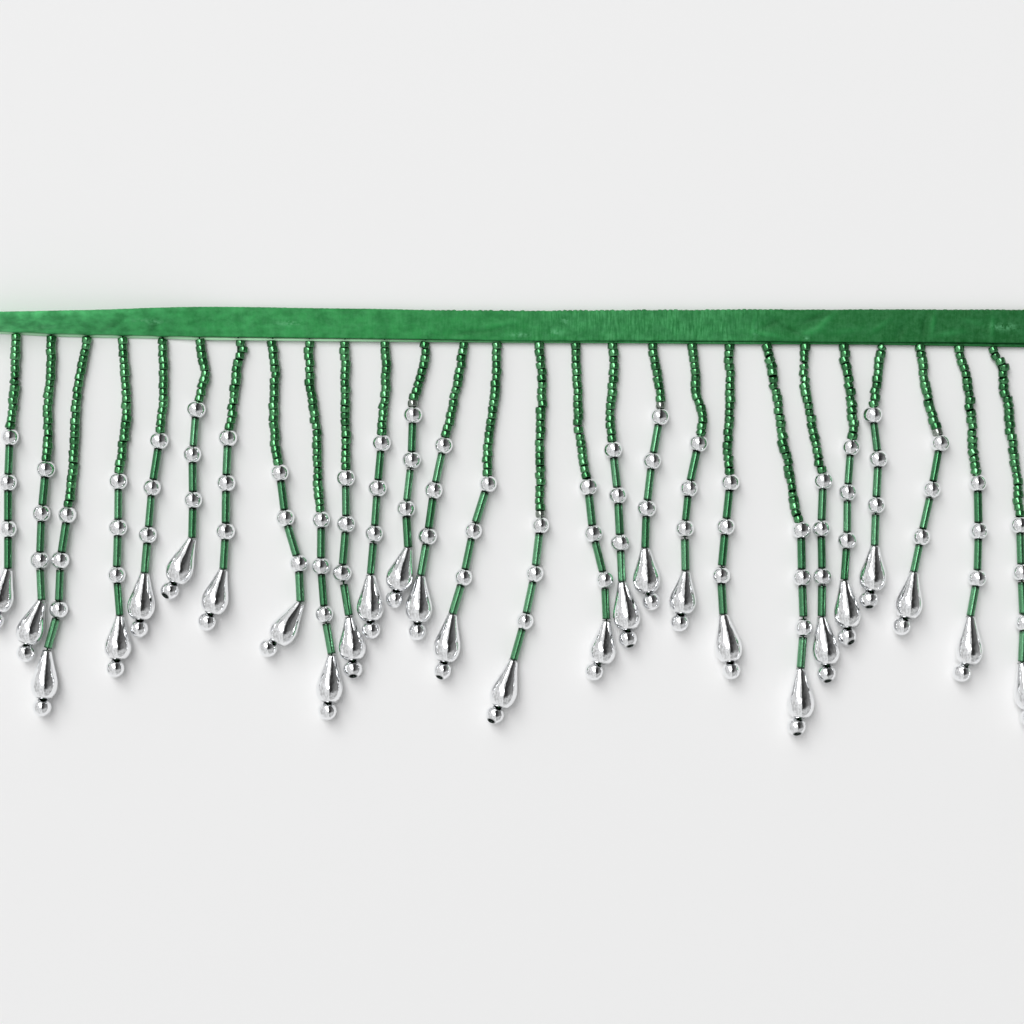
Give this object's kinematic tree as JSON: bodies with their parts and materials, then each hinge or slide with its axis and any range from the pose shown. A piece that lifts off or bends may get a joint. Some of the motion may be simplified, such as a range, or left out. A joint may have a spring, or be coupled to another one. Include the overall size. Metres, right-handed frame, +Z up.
{
  "type": "beaded fringe trim",
  "caption": "Beaded fringe trim laid flat: a folded green satin ribbon heading with hanging strands of green glass and silver beads of uneven length, each ended by a silver teardrop.",
  "frame": {"origin": "on the flat underside of the folded ribbon heading, halfway along it, where the trim lies on the surface", "axes": "+X along the ribbon heading, -Y the way the strands hang, +Z up off the surface"},
  "size_m": [0.232, 0.0933, 0.007],
  "materials": {
    "ribbon": "satin",
    "glass_beads": "silver-lined",
    "silver_beads": "mirror plated",
    "thread": "matte"
  },
  "bodies": {
    "root": {"ribbon_heading": "ribbon", "bead_fringe": "glass_beads"}
  },
  "joints": []
}
